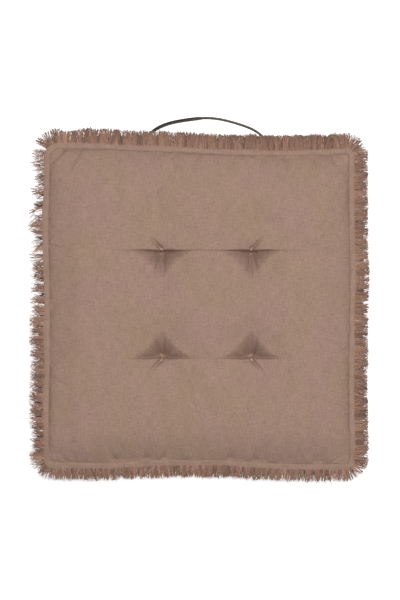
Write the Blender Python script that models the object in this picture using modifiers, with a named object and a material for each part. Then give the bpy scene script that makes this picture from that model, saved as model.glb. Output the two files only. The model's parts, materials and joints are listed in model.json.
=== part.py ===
"""A square floor cushion: a boxed cover with fringed flanges, four tufts and a strap handle.

The cushion lies flat with the middle of its underside at the origin. X runs along its front,
Y runs towards the handle and Z is up. All sizes are in metres.
"""
import math

import bmesh
import bpy
from mathutils import Vector

# Cover, measured over the flanges
WIDTH = 0.491
DEPTH = 0.509
CORNER_RADIUS = 0.018
FLANGE = 0.010
CLOTH = 0.0012
TOP_SEAM_Z = 0.085
BOTTOM_SEAM_Z = 0.012
CROWN = 0.020
CROWN_POWER = 4
WALL_BULGE = 0.006
UNDERSIDE_FLAT_FROM = 0.70

# Grid of the panels: rings inside the seam and round a tuft, and the widest cell elsewhere
SEAM_RINGS = (0.008, 0.026)
TUFT_RING_SHARE = 0.45
WIDEST_CELL = 0.052

# Clearances: between pieces that touch, and round the fibre core
GAP = 0.0003
CORE_GAP = 0.0014
CORE_RIM_DROP = 0.004
CORNER_SEAM_HALF_GAP = 0.0004

# Tufts: pitch between the twines and the place of the middle of the four
TUFT_PITCH_X = 0.139
TUFT_PITCH_Y = 0.172
TUFT_CENTRE = Vector((0.011, 0.005))
DIP_RADIUS = 0.055
TOP_DIP = 0.018
BOTTOM_DIP = 0.007
TWINE_RADIUS = 0.0011
TWINE_HOLE_CLEARANCE = 0.0007
KNOT_RADIUS = 0.0028
KNOT_HALF_HEIGHT = 0.0018

# Fringe: a header tape caught in the flange, and locks of yarn beyond it
HEADER = 0.0012
HEADER_WIDTH = 0.009
FRINGE_DROOP = 0.003
FRINGE_FRONT = 0.018
FRINGE_RIGHT = 0.020
FRINGE_BACK = 0.024
FRINGE_LEFT = 0.016
LOCKS_ALONG_SIDE = 28
LOCKS_ON_HALF_CORNER = 2
LOCK_TIP_SHARE = 0.5

# Sewing thread
THREAD_RADIUS = 0.0005
THREAD_INSET = 0.0085

# Handle: a strap on edge, sewn flat to the back wall at both ends
STRAP_WIDTH = 0.022
STRAP = 0.003
LOOP_SPAN = 0.200
LOOP_RISE = 0.0385
LOOP_CENTRE_X = 0.008
LOOP_POWER = 2.2
SWING_CLEARANCE = 0.0125
TAB_RISE_RUN = 0.024
TAB_SEWN_LENGTH = 0.034
STITCH_MARGIN = 0.003

# Colours of cloth, sewing thread, twine, fibre and strap
CLOTH_COLOUR = (0.347, 0.231, 0.171)
THREAD_COLOUR = (0.33, 0.22, 0.165)
TWINE_COLOUR = (0.51, 0.40, 0.31)
FIBRE_COLOUR = (0.80, 0.79, 0.76)
STRAP_COLOUR = (0.045, 0.032, 0.026)

HALF_X = WIDTH / 2
HALF_Y = DEPTH / 2
WALL_TOP_Z = TOP_SEAM_Z - HEADER / 2 - GAP
WALL_BOTTOM_Z = BOTTOM_SEAM_Z + HEADER / 2 + GAP
TOP_FLANGE_Z = TOP_SEAM_Z + HEADER / 2 + GAP + CLOTH
BOTTOM_FLANGE_Z = BOTTOM_SEAM_Z - HEADER / 2 - GAP - CLOTH
MIDDLE_Z = (TOP_SEAM_Z + BOTTOM_SEAM_Z) / 2
BACK_WALL_Y = HALF_Y - FLANGE + WALL_BULGE
SWING_AXIS_Y = BACK_WALL_Y + SWING_CLEARANCE
TUFTS = [TUFT_CENTRE + Vector((side_x * TUFT_PITCH_X / 2, side_y * TUFT_PITCH_Y / 2))
         for side_y in (-1, 1) for side_x in (-1, 1)]

for old in list(bpy.data.objects):
    bpy.data.objects.remove(old)

parts = bpy.data.collections.new("floor_cushion")
cutters = bpy.data.collections.new("cutters")
for collection in (parts, cutters):
    bpy.context.scene.collection.children.link(collection)


def add_empty(name, location):
    """An empty that pieces hang from."""
    empty = bpy.data.objects.new(name, None)
    empty.location = location
    parts.objects.link(empty)
    return empty


def add_part(name, data, colour, roughness, parent, location=(0, 0, 0)):
    """A named piece with a finish of its own."""
    finish = bpy.data.materials.new(name + "_finish")
    finish.use_nodes = True
    shader = finish.node_tree.nodes["Principled BSDF"]
    shader.inputs["Base Color"].default_value = (*colour, 1)
    shader.inputs["Roughness"].default_value = roughness
    shader.inputs["Metallic"].default_value = 0
    data.materials.append(finish)
    piece = bpy.data.objects.new(name, data)
    piece.location = location
    piece.parent = parent
    parts.objects.link(piece)
    return piece


def finish_mesh(name, mesh_data, smooth_angle=None):
    """A mesh from a bmesh, with faces that turn less than the angle shaded smooth."""
    mesh = bpy.data.meshes.new(name)
    mesh_data.to_mesh(mesh)
    mesh_data.free()
    if smooth_angle is not None:
        mesh.shade_smooth()
        mesh.set_sharp_from_angle(angle=smooth_angle)
    return mesh


def thicken(piece, thickness, offset):
    """Gives an open surface its thickness."""
    solidify = piece.modifiers.new("thickness", "SOLIDIFY")
    solidify.thickness = thickness
    solidify.offset = offset
    solidify.use_even_offset = True


def crown(x, y):
    """Share of the crown's full height at a place on the panel, 0 on the seam and beyond."""
    across = min(1, abs(x) / (HALF_X - FLANGE)) ** CROWN_POWER
    along = min(1, abs(y) / (HALF_Y - FLANGE)) ** CROWN_POWER
    return math.sqrt((1 - across) * (1 - along))


def dip(x, y):
    """Share of a tuft's full depth at a place on the panel."""
    total = 0
    for tuft in TUFTS:
        reach = min(1, (Vector((x, y)) - tuft).length / DIP_RADIUS)
        total += (1 + math.cos(math.pi * reach)) / 2
    return total


def top_height(x, y):
    """Height of the top panel's outer face."""
    return TOP_FLANGE_Z + CROWN * crown(x, y) - TOP_DIP * dip(x, y)


def bottom_height(x, y):
    """Height of the bottom panel's outer face, which is level where the cushion rests."""
    lifted = 1 - min(1, crown(x, y) / UNDERSIDE_FLAT_FROM)
    return BOTTOM_FLANGE_Z * lifted + BOTTOM_DIP * dip(x, y)


def grid_lines(half, tuft_places, edge_insets):
    """Places of a panel's grid lines along one axis, close together at its edges and tufts."""
    lines = {side * (half - inset) for inset in edge_insets for side in (-1, 1)}
    for place in tuft_places:
        lines |= {place + share * DIP_RADIUS
                  for share in (-1, -TUFT_RING_SHARE, 0, TUFT_RING_SHARE, 1)}
    lines = sorted(lines)
    between = [(low + high) / 2 for low, high in zip(lines, lines[1:])
               if high - low > WIDEST_CELL]
    return sorted(lines + between)


def round_corner(x, y, radius):
    """Moves a place on a square grid so that the rings near the corner become arcs."""
    over_x = abs(x) - (HALF_X - radius)
    over_y = abs(y) - (HALF_Y - radius)
    if over_x <= 0 or over_y <= 0:
        return x, y
    shrink = max(over_x, over_y) / math.hypot(over_x, over_y)
    return (math.copysign(HALF_X - radius + over_x * shrink, x),
            math.copysign(HALF_Y - radius + over_y * shrink, y))


def height_grid(mesh_data, height, edge_insets):
    """Adds a grid of faces over the panel and returns its rows of vertices."""
    xs = grid_lines(HALF_X, sorted({tuft.x for tuft in TUFTS}), edge_insets)
    ys = grid_lines(HALF_Y, sorted({tuft.y for tuft in TUFTS}), edge_insets)
    rows = [[mesh_data.verts.new((*round_corner(x, y, CORNER_RADIUS), height(x, y))) for x in xs]
            for y in ys]
    for low, high in zip(rows, rows[1:]):
        for i in range(len(xs) - 1):
            mesh_data.faces.new((low[i], low[i + 1], high[i + 1], high[i]))
    return rows


def perimeter(rows):
    """The vertices round the edge of a grid, in order."""
    return (rows[0][:-1] + [row[-1] for row in rows[:-1]]
            + rows[-1][:0:-1] + [row[0] for row in rows[:0:-1]])


def add_panel(name, height, facing_up, parent):
    """A cloth panel with its flange and tuft dips, drawn at its outer face."""
    mesh_data = bmesh.new()
    height_grid(mesh_data, height, [0, FLANGE] + [FLANGE + ring for ring in SEAM_RINGS])
    if not facing_up:
        bmesh.ops.reverse_faces(mesh_data, faces=mesh_data.faces)
    mesh = finish_mesh(name, mesh_data, math.radians(40))
    panel = add_part(name, mesh, CLOTH_COLOUR, 0.9, parent)
    thicken(panel, CLOTH, -1)
    return panel


def side_stations(side, straight_steps, corner_steps, half_gap, gap_radius):
    """Stations along one side, from mid-corner to mid-corner: arc centre and outward direction.

    The side is counted in quarter turns from the front, and half_gap is left at each end.
    """
    facing = math.pi / 2 * (side - 1)
    sweep = math.pi / 4 - half_gap / gap_radius
    reach_x = HALF_X - CORNER_RADIUS
    reach_y = HALF_Y - CORNER_RADIUS
    along = reach_x if side % 2 == 0 else reach_y
    across = reach_y if side % 2 == 0 else reach_x
    outward = Vector((math.cos(facing), math.sin(facing)))
    forward = Vector((-outward.y, outward.x))
    stations = []
    for step in range(corner_steps):
        angle = facing - sweep * (1 - step / corner_steps)
        stations.append((outward * across - forward * along,
                         Vector((math.cos(angle), math.sin(angle)))))
    for step in range(straight_steps + 1):
        place = along * (2 * step / straight_steps - 1)
        stations.append((outward * across + forward * place, outward))
    for step in range(1, corner_steps + 1):
        angle = facing + sweep * step / corner_steps
        stations.append((outward * across + forward * along,
                         Vector((math.cos(angle), math.sin(angle)))))
    return stations


def station_point(station, inset, z):
    """A point at a station, so far in from the flange's outer edge."""
    centre, outward = station
    place = centre + outward * (CORNER_RADIUS - inset)
    return Vector((place.x, place.y, z))


def wall_inset(share):
    """How far in the wall's outer face is, at a share of its height."""
    return FLANGE - WALL_BULGE * math.sin(math.pi * share)


def add_wall(name, side, parent):
    """A boxing strip with both of its seam allowances turned out into the flanges."""
    wall_steps = 6
    low = WALL_BOTTOM_Z + CLOTH
    high = WALL_TOP_Z - CLOTH
    profile = [(0, low)]
    for step in range(wall_steps + 1):
        share = step / wall_steps
        profile.append((wall_inset(share), low + (high - low) * share))
    profile.append((0, high))
    stations = side_stations(side, 8, 3, CORNER_SEAM_HALF_GAP, CORNER_RADIUS - FLANGE - CLOTH)
    mesh_data = bmesh.new()
    columns = [[mesh_data.verts.new(station_point(station, inset, z)) for inset, z in profile]
               for station in stations]
    for left, right in zip(columns, columns[1:]):
        for i in range(len(profile) - 1):
            mesh_data.faces.new((left[i], right[i], right[i + 1], left[i + 1]))
    mesh = finish_mesh(name, mesh_data, math.radians(40))
    wall = add_part(name, mesh, CLOTH_COLOUR, 0.9, parent)
    thicken(wall, CLOTH, -1)


def add_fringe(name, side, length, seam_z, parent):
    """A run of fringe: a header tape with a row of locks that droop a little beyond it."""
    stations = side_stations(side, LOCKS_ALONG_SIDE, LOCKS_ON_HALF_CORNER,
                             CORNER_SEAM_HALF_GAP, CORNER_RADIUS - HEADER_WIDTH)
    mesh_data = bmesh.new()
    inner = [mesh_data.verts.new(station_point(station, HEADER_WIDTH, seam_z))
             for station in stations]
    outer = [mesh_data.verts.new(station_point(station, 0, seam_z)) for station in stations]
    for i in range(len(stations) - 1):
        mesh_data.faces.new((inner[i], outer[i], outer[i + 1], inner[i + 1]))
        tip_low = station_point(stations[i], -length, seam_z - FRINGE_DROOP)
        tip_high = station_point(stations[i + 1], -length, seam_z - FRINGE_DROOP)
        margin = (1 - LOCK_TIP_SHARE) / 2
        tip = [mesh_data.verts.new(tip_low.lerp(tip_high, share))
               for share in (margin, 1 - margin)]
        mesh_data.faces.new((outer[i], tip[0], tip[1], outer[i + 1]))
    mesh = finish_mesh(name, mesh_data)
    fringe = add_part(name, mesh, CLOTH_COLOUR, 0.95, parent)
    thicken(fringe, HEADER, 0)


def add_core(parent):
    """The fibre core, which fills the cover between its panels and walls."""
    wall_gap = CLOTH + CORE_GAP
    step = 0.001

    def clear_of(height, sign):
        def inside(x, y):
            slope_x = (height(x + step, y) - height(x - step, y)) / (2 * step)
            slope_y = (height(x, y + step) - height(x, y - step)) / (2 * step)
            return height(x, y) + sign * wall_gap * math.sqrt(1 + slope_x ** 2 + slope_y ** 2)
        return inside

    insets = [FLANGE + wall_gap] + [FLANGE + ring for ring in SEAM_RINGS]
    mesh_data = bmesh.new()
    top = perimeter(height_grid(mesh_data, clear_of(top_height, -1), insets))
    faces_up = list(mesh_data.faces)
    bottom = perimeter(height_grid(mesh_data, clear_of(bottom_height, 1), insets))
    bmesh.ops.reverse_faces(mesh_data, faces=[f for f in mesh_data.faces if f not in faces_up])
    high = WALL_TOP_Z - CORE_RIM_DROP
    low = WALL_BOTTOM_Z + CORE_RIM_DROP
    for vert in top:
        vert.co.z = high
    for vert in bottom:
        vert.co.z = low
    levels = [bottom]
    for share in (0.25, 0.5, 0.75):
        bulge = FLANGE - wall_inset(share)
        ring = []
        for vert in bottom:
            outward = Vector((max(0, abs(vert.co.x) - HALF_X + CORNER_RADIUS),
                              max(0, abs(vert.co.y) - HALF_Y + CORNER_RADIUS)))
            outward.normalize()
            outward.x = math.copysign(outward.x, vert.co.x)
            outward.y = math.copysign(outward.y, vert.co.y)
            ring.append(mesh_data.verts.new((vert.co.x + outward.x * bulge,
                                             vert.co.y + outward.y * bulge,
                                             low + (high - low) * share)))
        levels.append(ring)
    levels.append(top)
    for lower, upper in zip(levels, levels[1:]):
        for i in range(len(lower)):
            mesh_data.faces.new((lower[i - 1], lower[i], upper[i], upper[i - 1]))
    mesh = finish_mesh("fibre_core", mesh_data, math.radians(40))
    return add_part("fibre_core", mesh, FIBRE_COLOUR, 0.95, parent)


def add_hole_cutter(tuft):
    """The needle's way through the cover and the core at one tuft."""
    mesh_data = bmesh.new()
    radius = TWINE_RADIUS + TWINE_HOLE_CLEARANCE
    bmesh.ops.create_cone(mesh_data, cap_ends=True, segments=8, radius1=radius, radius2=radius,
                          depth=2 * TOP_SEAM_Z)
    cutter = bpy.data.objects.new("tuft_hole_cutter", finish_mesh("tuft_hole", mesh_data))
    cutter.location = (tuft.x, tuft.y, MIDDLE_Z)
    cutter.display_type = "WIRE"
    cutter.hide_render = True
    cutters.objects.link(cutter)
    return cutter


def add_twine(name, tuft, parent):
    """One length of twine through the cushion, turned with a knot at each end."""
    knot_gap = 2 * GAP
    top_knot_z = top_height(*tuft) + knot_gap + KNOT_HALF_HEIGHT
    bottom_knot_z = bottom_height(*tuft) - knot_gap - KNOT_HALF_HEIGHT
    steps = 6
    neck = math.asin(TWINE_RADIUS / KNOT_RADIUS)
    half = []
    for step in range(steps + 1):
        angle = (math.pi - neck) * step / steps
        half.append((KNOT_RADIUS * math.sin(angle), KNOT_HALF_HEIGHT * math.cos(angle)))
    profile = [(radius, top_knot_z + rise) for radius, rise in half]
    profile += [(radius, bottom_knot_z - rise) for radius, rise in reversed(half)]
    mesh_data = bmesh.new()
    verts = [mesh_data.verts.new((radius, 0, z)) for radius, z in profile]
    for upper, lower in zip(verts, verts[1:]):
        mesh_data.edges.new((upper, lower))
    mesh = finish_mesh(name, mesh_data)
    twine = add_part(name, mesh, TWINE_COLOUR, 0.8, parent, (tuft.x, tuft.y, 0))
    screw = twine.modifiers.new("turn", "SCREW")
    screw.steps = 8
    screw.render_steps = 8
    screw.use_merge_vertices = True
    screw.merge_threshold = 0.00005
    screw.use_smooth_shade = True


def add_thread(name, points, parent, location=(0, 0, 0)):
    """A closed run of sewing thread through the given points."""
    curve = bpy.data.curves.new(name, "CURVE")
    curve.dimensions = "3D"
    curve.bevel_depth = THREAD_RADIUS
    curve.bevel_resolution = 0
    spline = curve.splines.new("POLY")
    spline.points.add(len(points) - 1)
    for point, place in zip(spline.points, points):
        point.co = (*place, 1)
    spline.use_cyclic_u = True
    return add_part(name, curve, THREAD_COLOUR, 0.7, parent, location)


def add_seam_thread(name, z, parent):
    """The thread that closes a flange, all the way round beside the seam."""
    points = []
    for side in range(4):
        stations = side_stations(side, 4, 3, 0, CORNER_RADIUS)
        points += [station_point(station, THREAD_INSET, z) for station in stations[:-1]]
    add_thread(name, points, parent)


def add_strap(name, centre_line, parent, location=(0, 0, 0)):
    """A strap on edge, from its centre line: x, y and slope at each point."""
    half = [STRAP / 2 * math.sqrt(1 + slope ** 2) for x, y, slope in centre_line]
    outline = [(x, y + h) for (x, y, slope), h in zip(centre_line, half)]
    outline += [(x, y - h) for (x, y, slope), h in reversed(list(zip(centre_line, half)))]
    curve = bpy.data.curves.new(name, "CURVE")
    curve.dimensions = "2D"
    curve.fill_mode = "BOTH"
    curve.extrude = STRAP_WIDTH / 2
    spline = curve.splines.new("POLY")
    spline.points.add(len(outline) - 1)
    for point, (x, y) in zip(spline.points, outline):
        point.co = (x, y, 0, 1)
    spline.use_cyclic_u = True
    return add_part(name, curve, STRAP_COLOUR, 0.75, parent, location)


def add_handle(root):
    """The strap handle: a loop that swings about the line through its two sewn-down ends."""
    swing_axis = add_empty("handle_swing_axis", (LOOP_CENTRE_X, SWING_AXIS_Y, MIDDLE_Z))
    swing_axis.parent = root
    half_span = LOOP_SPAN / 2
    steps = 24
    loop_line = []
    for step in range(steps + 1):
        share = 2 * step / steps - 1
        rise = LOOP_RISE * (1 - abs(share) ** LOOP_POWER)
        slope = -LOOP_RISE * LOOP_POWER / half_span * math.copysign(
            abs(share) ** (LOOP_POWER - 1), share)
        loop_line.append((share * half_span, rise, slope))
    add_strap("handle_loop", loop_line, swing_axis)

    sewn_y = BACK_WALL_Y + GAP + STRAP / 2
    drop = SWING_AXIS_Y - sewn_y
    end_slope = -loop_line[-1][2]
    steps = 8
    tab_line = []
    for step in range(steps + 1):
        t = step / steps
        y = drop * (1 - 3 * t ** 2 + 2 * t ** 3)
        y -= end_slope * TAB_RISE_RUN * (t - 2 * t ** 2 + t ** 3)
        slope = -drop * (6 * t - 6 * t ** 2) / TAB_RISE_RUN - end_slope * (1 - 4 * t + 3 * t ** 2)
        tab_line.append((TAB_RISE_RUN * t, sewn_y + y, slope))
    tab_line.append((TAB_RISE_RUN + TAB_SEWN_LENGTH, sewn_y, 0))

    stitch_y = sewn_y + STRAP / 2 + GAP + THREAD_RADIUS
    stitch_half = STRAP_WIDTH / 2 - STITCH_MARGIN
    near = TAB_RISE_RUN + STITCH_MARGIN
    far = TAB_RISE_RUN + TAB_SEWN_LENGTH - STITCH_MARGIN
    for name, side in (("left", -1), ("right", 1)):
        line = [(side * x, y, side * slope) for x, y, slope in tab_line]
        if side < 0:
            line.reverse()
        joint_x = LOOP_CENTRE_X + side * (half_span + GAP)
        add_strap("handle_end_" + name, line, root, (joint_x, 0, MIDDLE_Z))
        corners = [(side * near, stitch_half), (side * far, stitch_half),
                   (side * far, -stitch_half), (side * near, -stitch_half)]
        add_thread("handle_stitching_" + name, [(x, stitch_y, z) for x, z in corners], root,
                   (joint_x, 0, MIDDLE_Z))


def build():
    """Puts the cushion together."""
    root = add_empty("cushion_root", (0, 0, 0))
    drilled = [add_core(root),
               add_panel("top_panel", top_height, True, root),
               add_panel("bottom_panel", bottom_height, False, root)]
    for number, tuft in enumerate(TUFTS, 1):
        cutter = add_hole_cutter(tuft)
        for piece in drilled:
            hole = piece.modifiers.new("tuft_hole", "BOOLEAN")
            hole.operation = "DIFFERENCE"
            hole.solver = "EXACT"
            hole.object = cutter
        add_twine("tuft_twine_%d" % number, tuft, root)

    lengths = {"front": FRINGE_FRONT, "right": FRINGE_RIGHT,
               "back": FRINGE_BACK, "left": FRINGE_LEFT}
    for side, (place, length) in enumerate(lengths.items()):
        add_wall("wall_" + place, side, root)
        add_fringe("top_fringe_" + place, side, length, TOP_SEAM_Z, root)
        add_fringe("bottom_fringe_" + place, side, length, BOTTOM_SEAM_Z, root)

    thread_gap = GAP + THREAD_RADIUS
    add_seam_thread("top_seam_thread", TOP_FLANGE_Z + thread_gap, root)
    add_seam_thread("bottom_seam_thread", BOTTOM_FLANGE_Z - thread_gap, root)
    add_handle(root)


build()
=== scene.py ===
"""The looks of a floor cushion: a stuffed cover with four tufts, frayed flanges and a strap handle.

Everything is in metres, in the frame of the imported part: Z up, Y towards the handle.
"""
import json
import math

import bpy
import numpy as np
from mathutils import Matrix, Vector


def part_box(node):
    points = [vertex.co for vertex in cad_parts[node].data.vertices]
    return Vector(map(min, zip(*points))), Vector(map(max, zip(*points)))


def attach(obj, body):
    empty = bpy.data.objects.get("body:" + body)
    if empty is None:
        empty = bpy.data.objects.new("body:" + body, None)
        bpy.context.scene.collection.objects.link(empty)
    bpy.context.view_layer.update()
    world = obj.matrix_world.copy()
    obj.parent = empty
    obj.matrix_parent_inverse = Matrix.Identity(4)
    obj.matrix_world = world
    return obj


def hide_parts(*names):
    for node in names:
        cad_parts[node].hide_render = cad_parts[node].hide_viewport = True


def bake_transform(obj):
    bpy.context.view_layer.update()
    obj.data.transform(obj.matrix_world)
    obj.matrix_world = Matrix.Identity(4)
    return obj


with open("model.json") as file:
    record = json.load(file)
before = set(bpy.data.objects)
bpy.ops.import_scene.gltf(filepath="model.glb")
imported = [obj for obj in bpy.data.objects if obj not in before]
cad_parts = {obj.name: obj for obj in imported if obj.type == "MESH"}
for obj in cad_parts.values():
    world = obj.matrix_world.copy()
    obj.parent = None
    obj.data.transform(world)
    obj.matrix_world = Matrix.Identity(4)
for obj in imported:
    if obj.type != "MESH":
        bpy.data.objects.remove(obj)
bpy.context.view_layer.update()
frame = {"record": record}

# Places read from the frame
top_low, top_high = map(Vector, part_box("top_panel"))
bottom_high = Vector(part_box("bottom_panel")[1])
loop_low, loop_high = map(Vector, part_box("handle_loop"))
end_low = Vector(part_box("handle_end_left")[0])
swing = frame["record"]["behaviour"]["joints"][0]
AXIS_Y, AXIS_Z = swing["pos_m"][1:]
HALF_X = top_high.x
HALF_Y = top_high.y
CLOTH = 0.0012
TOP_FLANGE_Z = top_low.z + CLOTH
BOTTOM_FLANGE_Z = bottom_high.z - CLOTH
CROWN_Z = top_high.z
TUFTS = [np.mean(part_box("tuft_twine_%d" % number), axis=0)[:2] for number in range(1, 5)]
TUFT_MIDDLE = np.mean(TUFTS, axis=0)

# Cover
FLANGE = 0.010
SEAM_X, SEAM_Y = HALF_X - FLANGE, HALF_Y - FLANGE
SEAM_TOP_Z = TOP_FLANGE_Z - 0.0008
SEAM_BOTTOM_Z = BOTTOM_FLANGE_Z + 0.0008
FLANGE_SINK = 0.0021
STITCH_RISE = 0.0026
FLANGES = (("top", TOP_FLANGE_Z - FLANGE_SINK, 1), ("bottom", BOTTOM_FLANGE_Z + FLANGE_SINK, -1))
CORNERS = ((-1, -1), (1, -1), (1, 1), (-1, 1))
CORNER_RADIUS = 0.015
FAR_LEFT_CORNER_RADIUS = 0.024
WALL_BULGE = 0.006
CROWN_POWER = 4
ROLL_LEFT = 0.012
ROLL_RIGHT = 0.011
ROLL_FAR = 0.022
ROLL_NEAR = 0.040
NEAR_SAG = 0.010
SIDE_LIFT = 0.0065
UNDERSIDE_FLAT_FROM = 0.70
BOTTOM_DIP = 0.007
BOTTOM_DIP_RADIUS = 0.055
START_DIP = 0.012
START_DIP_RADIUS = 0.060
STUFFING_LIMIT = 0.006
STUFFING_STEPS = 24

# Tuft hollows on the top
HOLLOW_DEPTH = 0.033
HOLLOW_HALF_LENGTH = 0.045
HOLLOW_REACH = 0.044
CREASE_OFFSET = 0.003
BOWL_DEPTH = 0.008
BOWL_RADIUS = 0.050
OUTER_DIP = 0.011
OUTER_DIP_RADIUS = 0.014
PLEAT_LENGTH = 0.027
HOLLOW_PLEATS = ((0.012, 0.040, 0.0088), (-0.003, 0.032, 0.0050), (0.027, 0.027, 0.0040),
                 (-0.020, 0.024, 0.0036))
PLEAT_DEPTH = 0.0080
PLEAT_WIDTH = 0.0026

STRAP_THICK = 0.0024

# Fringe
YARN_RADIUS = 0.00048
YARN_RINGS = 7
YARN_SIDES = 4
YARN_SPACING = 0.00060
CROWD_REACH = 0.028

THREAD_PITCH = 0.00062
OLIVE_CLOTH = (0.337, 0.223, 0.159)
PINK_CLOTH = (0.345, 0.221, 0.176)
YARN_COLOUR = (0.325, 0.181, 0.134)
THREAD_COLOUR = (0.40, 0.28, 0.21)
TWINE_COLOUR = (0.50, 0.34, 0.26)
# The strap's two colours: this dark one paints shade on its left half, and the next, lighter one
# paints sheen on its right half
STRAP_COLOUR = (0.030, 0.021, 0.017)
PAINTED_SHEEN_STRAP_COLOUR = (0.165, 0.134, 0.112)


# ---------------- helpers

def smooth_step(t):
    """Rises from 0 to 1 as t does, level at both ends."""
    t = np.clip(t, 0, 1)
    return t * t * (3 - 2 * t)


def hump(distance, width, power=2):
    """A smooth bump: 1 in its middle, falling away over a width."""
    return np.exp(-(distance / width) ** power)


def facing(tuft):
    """The signs of x and y that lead outwards, from the tufts' middle to one of them."""
    return [math.copysign(1, place - middle) for place, middle in zip(tuft, TUFT_MIDDLE)]


def make_mesh(name, verts, faces, smooth=True):
    """A mesh object from vertices and faces: one array of faces, or a list of arrays."""
    groups = [np.asarray(group, dtype=np.int32)
              for group in (faces if isinstance(faces, list) else [faces])]
    corners = np.concatenate([group.ravel() for group in groups])
    sizes = np.concatenate([np.full(len(group), group.shape[1]) for group in groups])
    mesh = bpy.data.meshes.new(name)
    mesh.vertices.add(len(verts))
    mesh.vertices.foreach_set("co", np.asarray(verts, dtype=np.float32).ravel())
    mesh.loops.add(len(corners))
    mesh.loops.foreach_set("vertex_index", corners)
    mesh.polygons.add(len(sizes))
    starts = np.concatenate([[0], np.cumsum(sizes)[:-1]]).astype(np.int32)
    mesh.polygons.foreach_set("loop_start", starts)
    mesh.update(calc_edges=True)
    mesh.validate()
    if smooth:
        mesh.shade_smooth()
    obj = bpy.data.objects.new(name, mesh)
    bpy.context.scene.collection.objects.link(obj)
    return obj


def store(obj, name, values):
    """Keeps a number or a vector for each vertex, for materials to read."""
    values = np.asarray(values, dtype=np.float32)
    kind = "FLOAT_VECTOR" if values.ndim == 2 else "FLOAT"
    attribute = obj.data.attributes.new(name, kind, "POINT")
    attribute.data.foreach_set("vector" if values.ndim == 2 else "value", values.ravel())


def wave_field(seed, count, low, high):
    """A smooth random field of x and y, about -1 to 1, with wavelengths from low to high."""
    field_rng = np.random.default_rng(seed)
    lengths = np.exp(field_rng.uniform(math.log(low), math.log(high), count))
    angles = field_rng.uniform(0, 2 * math.pi, count)
    phases = field_rng.uniform(0, 2 * math.pi, count)

    def field(x, y):
        total = 0
        for length, angle, phase in zip(lengths, angles, phases):
            total = total + np.sin(2 * math.pi * (x * math.cos(angle) + y * math.sin(angle))
                                   / length + phase)
        return total / math.sqrt(count)
    return field


def line_field(seed, count, low, high):
    """A smooth random field along a line, about -1 to 1."""
    field = wave_field(seed, count, low, high)
    return lambda s: field(s, 0.37 * s)


def corner_radius(x, y):
    """The radius of the nearest corner, which is rounder at the far left."""
    return np.where((x < 0) & (y > 0), FAR_LEFT_CORNER_RADIUS, CORNER_RADIUS)


def round_corner(x, y):
    """Turns the corners of square rings into arcs about the corner's centre."""
    radius = corner_radius(x, y)
    over_x = np.abs(x) - (HALF_X - radius)
    over_y = np.abs(y) - (HALF_Y - radius)
    inside = (over_x > 0) & (over_y > 0)
    reach = np.hypot(np.where(inside, over_x, 1), np.where(inside, over_y, 1))
    shrink = np.where(inside, np.maximum(over_x, over_y) / reach, 1)
    new_x = np.where(inside, np.copysign(HALF_X - radius + over_x * shrink, x), x)
    new_y = np.where(inside, np.copysign(HALF_Y - radius + over_y * shrink, y), y)
    return new_x, new_y


def settle(points):
    """The sewn square as it lies: its upper seam wanders a little from square."""
    points = np.array(points, dtype=float)
    x, y, z = points[..., 0], points[..., 1], points[..., 2]
    high = smooth_step((z - (AXIS_Z + 0.012)) / (TOP_FLANGE_Z - AXIS_Z - 0.014))
    back = smooth_step((y / HALF_Y - 0.35) / 0.60)
    front = smooth_step((-y / HALF_Y - 0.45) / 0.50)
    askew = -0.0056 * np.sin(math.pi * (x + 0.045) / 0.34)
    hollow = 0.0042 * hump(x + 0.020, 0.095, 4) - 0.0024 * smooth_step((x - 0.085) / 0.06)
    points[..., 1] = y + high * (back * askew + front * hollow)
    side = np.sign(x) * smooth_step((np.abs(x) / HALF_X - 0.5) / 0.45)
    points[..., 0] = x + high * 0.0012 * side * np.sin(y / 0.052 + 0.8 * side)
    at_seam = smooth_step((-y / HALF_Y - 0.78) / 0.20)
    at_side = smooth_step((np.abs(x) / HALF_X - 0.82) / 0.18)
    points[..., 2] = z + high * (SIDE_LIFT * at_side * (1 - at_seam) - NEAR_SAG * at_seam)
    return points


def travelled(points):
    """The distance along a line of points, at each of them."""
    return np.concatenate([[0], np.cumsum(np.linalg.norm(np.diff(points, axis=0), axis=1))])


def outline(inset, spacing):
    """Places round the cover, so far in from the flange's edge: points, outward, distance."""
    places, corners = [], []
    for signs in CORNERS:
        radius = float(corner_radius(*signs))
        corners.append((np.array(signs) * (HALF_X - radius, HALF_Y - radius), radius))
    for side in range(4):
        (start, start_radius), (end, end_radius) = corners[side], corners[(side + 1) % 4]
        heading = math.pi / 2 * (side - 1)
        out = np.array([math.cos(heading), math.sin(heading)])
        first, last = start + out * start_radius, end + out * end_radius
        steps = int(np.linalg.norm(last - first) / spacing)
        for step in range(steps):
            place = first + (last - first) * step / steps
            places.append((place - out * CORNER_RADIUS, heading, CORNER_RADIUS))
        arc_steps = max(4, int(math.pi / 2 * end_radius / spacing))
        for step in range(arc_steps):
            places.append((end, heading + math.pi / 2 * step / arc_steps, end_radius))
    centres, angles, radii = (np.array(column) for column in zip(*places))
    outward = np.stack([np.cos(angles), np.sin(angles)], axis=1)
    edge = centres + outward * radii[:, None]
    return edge - outward * inset, outward, travelled(edge)


def side_ends(side):
    """Distances round the edge: to the middles of a side's two corners, and all round."""
    total, middles = 0, []
    for corner in range(4):
        before, after = (float(corner_radius(*CORNERS[k % 4])) for k in (corner, corner + 1))
        total += 2 * (HALF_Y if corner % 2 else HALF_X) - before - after
        middles.append(total + math.pi / 4 * after)
        total += math.pi / 2 * after
    return middles[side - 1] - (0 if side else total), middles[side], total


# ---------------- the cover's shape

def crown(x, y):
    """Share of the crown's height, 0 on the seam."""
    across = np.minimum(1, np.abs(x) / SEAM_X) ** CROWN_POWER
    along = np.minimum(1, np.abs(y) / SEAM_Y) ** CROWN_POWER
    return np.sqrt((1 - across) * (1 - along))


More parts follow.
